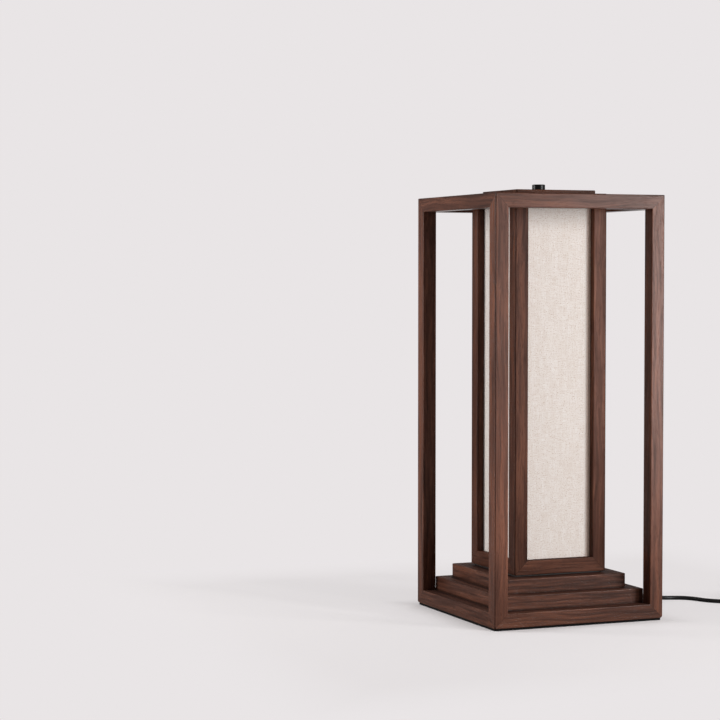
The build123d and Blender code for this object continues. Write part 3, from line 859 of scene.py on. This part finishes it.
@dataclass
class MainsCord:
    """The free cord: out of the gland, along the floor, and put away in a flat coil."""

    body: str = "frame"
    diameter: float = 6.0 * MM
    length: float = 1.85
    # The route on the floor, from the tip of the gland to the coil.
    route: Sequence[Point] = (
        (0.1560, 0.0, 0.0130),
        (0.1870, 0.0, 0.0130),
        (0.2130, 0.0225, 0.0046),
        (0.2350, 0.0255, 0.0030),
        (0.2520, 0.0185, 0.0030),
        (0.2635, 0.0040, 0.0030),
        (0.2690, -0.0160, 0.0030),
        (0.2910, -0.0380, 0.0030),
        (0.3130, -0.0490, 0.0030),
    )
    centre: tuple[float, float] = (0.35951, -0.02306)
    inner_radius: float = 24.0 * MM
    pitch: float = 6.05 * MM
    turns: int = 7
    ease: tuple[float, float] = (1.6, 0.73)  # how the turn that climbs drifts in and out again
    points_per_turn: int = 16
    tail: float = 48.0 * MM
    plug_height: float = 7.5 * MM
    tie_angle: float = math.radians(-30)  # round the coil, from +X
    tie_gap: float = 0.3 * MM  # between the strap and the cord at its sides
    tie_height: float = 0.4 * MM  # of the strap's inside over the two layers
    tie_corner: float = 4.0 * MM
    tie_width: float = 9.0 * MM
    tie_wall: float = 0.9 * MM
    tie_steps: int = 8  # faces round each corner
    tie_floor: float = 0.05 * MM  # level of its underside

    def turn_place(self, turned: float) -> tuple[float, float]:
        """Find where a turn lies: inwards on the floor, up, and outwards on top.

        Args:
            turned: how many turns the coil has made so far.

        Returns:
            The radius and the height of the cord's middle.
        """
        away = turned - self.turns / 2
        steps = abs(away)
        first, second = self.ease
        spread = first * steps**2 - second * steps**3 if steps < 1 else first - second + steps - 1
        lift = math.sin(math.pi * max(-0.5, min(0.5, away)))
        height = self.diameter * (1 + lift / 2)
        return self.inner_radius + self.pitch * spread, height

    def coil(self) -> list[Point]:
        """Work out the coil's points, from where the cord arrives to where it leaves.

        Returns:
            Control points, a little outside the line that the cord takes.
        """
        before, last = self.route[-2], self.route[-1]
        heading = math.atan2(last[1] - before[1], last[0] - before[0])
        start = heading - math.pi / 2
        sweep = 2 * math.pi * self.turns - start
        count = round(self.points_per_turn * sweep / (2 * math.pi))
        outside = 1 / math.cos(sweep / count / 2)
        points = []
        for step in range(count + 1):
            angle = start + sweep * step / count
            radius, height = self.turn_place((angle - start) / (2 * math.pi))
            x = self.centre[0] + radius * outside * math.cos(angle)
            y = self.centre[1] + radius * outside * math.sin(angle)
            points.append((x, y, height))
        return points

    def points(self) -> list[Point]:
        """Return all the control points, up to the plug."""
        coil = self.coil()
        end_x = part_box("plug")[0].x / 2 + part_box("plug")[1].x / 2
        end_y = self.centre[1] + self.tail
        fall = (coil[-1][2] + self.plug_height) / 2
        tail = [(end_x, self.centre[1] + self.tail / 2, fall), (end_x, end_y, self.plug_height)]
        return [*self.route, *coil, *tail]

    def tie(self, material: bpy.types.Material) -> bpy.types.Object:
        """Make the strap round the coil, on the side away from the lamp.

        Args:
            material: the strap's finish.

        Returns:
            The strap.
        """
        out = Vector((math.cos(self.tie_angle), math.sin(self.tie_angle), 0))
        along = Vector((-out.y, out.x, 0))
        inner = self.inner_radius - self.diameter / 2 - self.tie_gap
        outer = self.turn_place(self.turns)[0] + self.diameter / 2 + self.tie_gap
        centre = Vector((*self.centre, 0)) + out * (inner + outer) / 2
        half = Vector(((outer - inner) / 2, (2 * self.diameter + self.tie_height) / 2))
        mesh = bmesh.new()
        rings = []
        for side in (-0.5, 0.5):
            for radius in (self.tie_corner, self.tie_corner + self.tie_wall):
                ring = []
                for quarter, (sign_x, sign_z) in enumerate(((1, 1), (-1, 1), (-1, -1), (1, -1))):
                    for step in range(self.tie_steps + 1):
                        turn = math.pi / 2 * (quarter + step / self.tie_steps)
                        x = sign_x * (half.x - self.tie_corner) + radius * math.cos(turn)
                        z = sign_z * (half.y - self.tie_corner) + radius * math.sin(turn)
                        place = centre + out * x + along * self.tie_width * side
                        place.z = max(z + half.y, self.tie_floor)
                        ring.append(mesh.verts.new(place))
                rings.append(ring)
        count = len(rings[0])
        for first, second in ((0, 1), (1, 3), (3, 2), (2, 0)):
            for i in range(count):
                j = (i + 1) % count
                near, far = rings[first], rings[second]
                mesh.faces.new([near[i], near[j], far[j], far[i]])
        bmesh.ops.remove_doubles(mesh, verts=mesh.verts, dist=1e-6)
        bmesh.ops.recalc_face_normals(mesh, faces=mesh.faces)
        data = bpy.data.meshes.new("cord_tie")
        mesh.to_mesh(data)
        mesh.free()
        data.materials.append(material)
        piece = add_object("cord_tie", data)
        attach(piece, self.body)
        return piece

    def build(self) -> bpy.types.Object:
        """Make the cord and dress the pieces on it.

        Returns:
            The cord.
        """
        # Soft PVC sheath: near black, satin, with a faint waviness.
        satin = PlainFinish("#171616", 0.42, ior=1.53, specular=0.3, mottle_mm=5.0)
        sheath = satin.material("pvc_sheath")
        curve = bpy.data.curves.new("mains_cord", "CURVE")
        curve.dimensions = "3D"
        curve.bevel_depth = self.diameter / 2
        curve.bevel_resolution = 5
        curve.resolution_u = 6
        curve.use_fill_caps = True
        spline = curve.splines.new("NURBS")
        points = self.points()
        spline.points.add(len(points) - 1)
        for control, place in zip(spline.points, points):
            control.co = (*place, 1.0)
        spline.order_u = 3
        spline.use_endpoint_u = True
        curve.materials.append(sheath)
        piece = add_object("mains_cord", curve)
        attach(piece, self.body)
        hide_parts("cord_run", "cord_coil")
        # Nylon hook tape: a dull black nap.
        tape = PlainFinish("#1b1a1a", 0.8, mottle_mm=0.8, relief=0.05 * MM)
        strap = self.tie(tape.material("hook_tape"))
        # Moulded vinyl on the gland and the plug: black, with a fine spark texture.
        moulded = PlainFinish(
            "#141313", 0.5, ior=1.53, specular=0.3, mottle_mm=1.0, relief=0.02 * MM
        )
        vinyl = moulded.material("moulded_vinyl")
        for node in ("cord_gland", "plug"):
            dress(node, vinyl)
        for node in ("inner_lead", "dimmer_wire"):
            dress(node, sheath)
        # Moulded nylon, left its own milky white.
        nylon = PlainFinish("#d8d6cf", 0.45, ior=1.53).material("natural_nylon")
        dress("cord_grip", nylon)
        log.info("mains_cord: %d points", len(points))
        return piece


# --- Studio -----------------------------------------------
@dataclass(frozen=True)
class SoftBox:
    """One area lamp."""

    name: str
    place: Point
    aim: Point
    size: tuple[float, float]
    watts: float
    shines: bool = True  # whether it shows in the gloss of what it lights


@dataclass
class Studio:
    """A pale sweep, four soft lamps round the object, and the camera."""

    backdrop: str = "#e9e5e6"
    floor: str = "#f2eeee"
    floor_reach: float = 9.0
    bounce: float = 0.36  # what the floor gives back to the object, dimmer than it looks
    room: str = "#f6f4f4"
    surround: float = 0.26  # strength of the room's own light
    backdrop_half_angle: float = 0.5  # radians to each side of the camera's heading
    backdrop_fade: float = 0.15  # radians to each side of that edge
    # How the floor gives way to the backdrop's colour: from, to, and the share reached there.
    fades: Sequence[tuple[float, float, float]] = ((0.10, 0.18, 0.66), (0.15, 0.60, 1.0))
    camera_place: Point = (-1.365084, -2.691035, 0.482050)
    camera_turn: float = 0.38526  # radians from +Y towards +X
    camera_tilt: float = -0.04026
    lens: float = 105.542
    boxes: Iterable[SoftBox] = (
        SoftBox("right_front", (1.14, -1.56, 0.64), (0.0, 0.0, 0.36), (0.5, 1.2), 33.5),
        SoftBox("front_fill", (0.70, -1.85, 0.64), (0.0, 0.0, 0.36), (0.15, 1.2), 9.5, False),
        SoftBox("left_rear", (-1.56, 0.66, 0.62), (0.0, 0.0, 0.34), (0.42, 1.2), 24.0),
        SoftBox("right_rear", (1.25, 1.50, 0.42), (0.0, 0.0, 0.36), (0.7, 0.7), 14.0, False),
    )

    def lamps(self) -> None:
        """Hang the area lamps."""
        for box in self.boxes:
            light = bpy.data.lights.new(box.name, "AREA")
            light.shape = "RECTANGLE"
            light.size, light.size_y = box.size
            light.energy = box.watts
            lamp = add_object(box.name, light)
            lamp.location = box.place
            direction = Vector(box.aim) - Vector(box.place)
            lamp.rotation_euler = direction.to_track_quat("-Z", "Y").to_euler()
            lamp.visible_glossy = box.shines

    def shown(self, add: Adder, place: bpy.types.NodeSocket) -> bpy.types.Node:
        """Tell the rays that look at the backdrop from the rays that light.

        The backdrop hangs behind the object only, so gloss finds it on that side, and the dim
        room on the others.

        Args:
            add: adds a node to a material or the world.
            place: the direction or the place that is looked at.

        Returns:
            A node that gives 1 for camera and transmission rays, and for glossy ones to the
            rear.
        """
        rays = add("ShaderNodeLightPath").outputs
        heading = (math.sin(self.camera_turn), math.cos(self.camera_turn), 0.0)
        ahead = add("ShaderNodeVectorMath", (place,), operation="NORMALIZE")
        facing = add("ShaderNodeVectorMath", (ahead, heading), operation="DOT_PRODUCT")
        outside = math.cos(self.backdrop_half_angle + self.backdrop_fade)
        inside = math.cos(self.backdrop_half_angle - self.backdrop_fade)
        behind = add("ShaderNodeMapRange", (facing.outputs["Value"], outside, inside))
        gloss = add("ShaderNodeMath", (rays["Is Glossy Ray"], behind), operation="MULTIPLY")
        straight = (rays["Is Camera Ray"], rays["Is Transmission Ray"])
        looking = add("ShaderNodeMath", straight, operation="MAXIMUM")
        return add("ShaderNodeMath", (looking, gloss), operation="MAXIMUM")

    def world(self) -> None:
        """Light evenly from all round, and show the backdrop's colour to camera and gloss."""
        world = bpy.data.worlds.new("studio")
        world.use_nodes = True
        bpy.context.scene.world = world
        tree = world.node_tree
        tree.nodes.clear()
        add = partial(add_node, tree)
        direction = add("ShaderNodeTexCoord").outputs["Generated"]
        seen = add("ShaderNodeBackground", (linear(self.backdrop), 1.0))
        lit = add("ShaderNodeBackground", (linear(self.room), self.surround))
        mix = add("ShaderNodeMixShader", (self.shown(add, direction), lit, seen))
        add("ShaderNodeOutputWorld", (mix,))

    def ground(self) -> None:
        """Lay the floor, which fades into the backdrop far away from the object."""
        reach = self.floor_reach
        data = bpy.data.meshes.new("floor")
        corners = [(-reach, -reach, 0), (reach, -reach, 0), (reach, reach, 0), (-reach, reach, 0)]
        data.from_pydata(corners, [], [(0, 1, 2, 3)])
        # Pale matt floor paint.
        material, add = new_material("painted_floor")
        place = add("ShaderNodeTexCoord").outputs["Object"]
        size = add("ShaderNodeVectorMath", (place,), operation="ABSOLUTE")
        x, y, _ = add("ShaderNodeSeparateXYZ", (size,)).outputs
        away = add("ShaderNodeMath", (x, y), operation="MAXIMUM")
        fades = [
            add("ShaderNodeMapRange", (away, *ends, 0.0, most), interpolation_type="SMOOTHSTEP")
            for *ends, most in self.fades
        ]
        share = add("ShaderNodeMath", fades, operation="MAXIMUM")
        paint = add("ShaderNodeBsdfDiffuse", (linear(self.floor),))
        glow = add("ShaderNodeEmission", (linear(self.backdrop), 1.0))
        pale = add("ShaderNodeMixShader", (share, paint, glow))
        dim = (self.bounce, self.bounce, self.bounce, 1.0)
        giving = add("ShaderNodeBsdfDiffuse", (dim,))
        mix = add("ShaderNodeMixShader", (self.shown(add, place), giving, pale))
        add("ShaderNodeOutputMaterial", (mix,))
        data.materials.append(material)
        add_object("floor", data)

    def camera(self) -> None:
        """Set up the camera and the plain view transform."""
        data = bpy.data.cameras.new("camera")
        data.lens = self.lens
        data.sensor_width = 36.0
        camera = add_object("camera", data)
        camera.location = self.camera_place
        camera.rotation_euler = (math.pi / 2 + self.camera_tilt, 0.0, -self.camera_turn)
        bpy.context.scene.camera = camera
        bpy.context.scene.view_settings.view_transform = "Standard"

    def build(self) -> None:
        """Make the whole studio."""
        self.camera()
        self.world()
        self.lamps()
        self.ground()


def main() -> None:
    """Build the studio and the lamp."""
    logging.basicConfig(level=logging.INFO, format="%(name)s: %(message)s")
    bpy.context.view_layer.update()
    Studio().build()
    MainsCord().build()
    walnut = StainedWalnut()
    # Besides board difference, the tones paint light and shade: bars that get less light, such as
    # the bottom rails, are darker.
    BarFrame(
        "cage",
        walnut,
        {
            "post_front_left": 1.08,
            "post_front_right": 1.12,
            "post_rear_left": 0.95,
            "post": 1.1,
            "top_rail_front": 0.98,
            "top_rail": 0.8,
            "bottom_rail": 0.7,
        },
    ).dress()
    # The column's darker tones, on its left posts and bottom rails, are partly painted shade.
    BarFrame(
        "column",
        replace(walnut, specular=0.07),
        {
            "post_front_left": 0.69,
            "post_front_right": 1.0,
            "post_rear_left": 0.65,
            "bottom_rail": 0.66,
        },
    ).dress()
    # The plinth's darker tone is partly painted shade, low down where less light reaches.
    Plinth(replace(walnut, tone=0.7, contrast=1.3)).dress()
    LinenPanels(NaturalLinen()).build()
    source = LightSource()
    source.dress()
    source.chips()
    # The plate's darker tone is partly painted shade.
    TopPlate(replace(walnut, tone=0.6, specular=0.05)).dress()


if __name__ == "__main__":
    main()
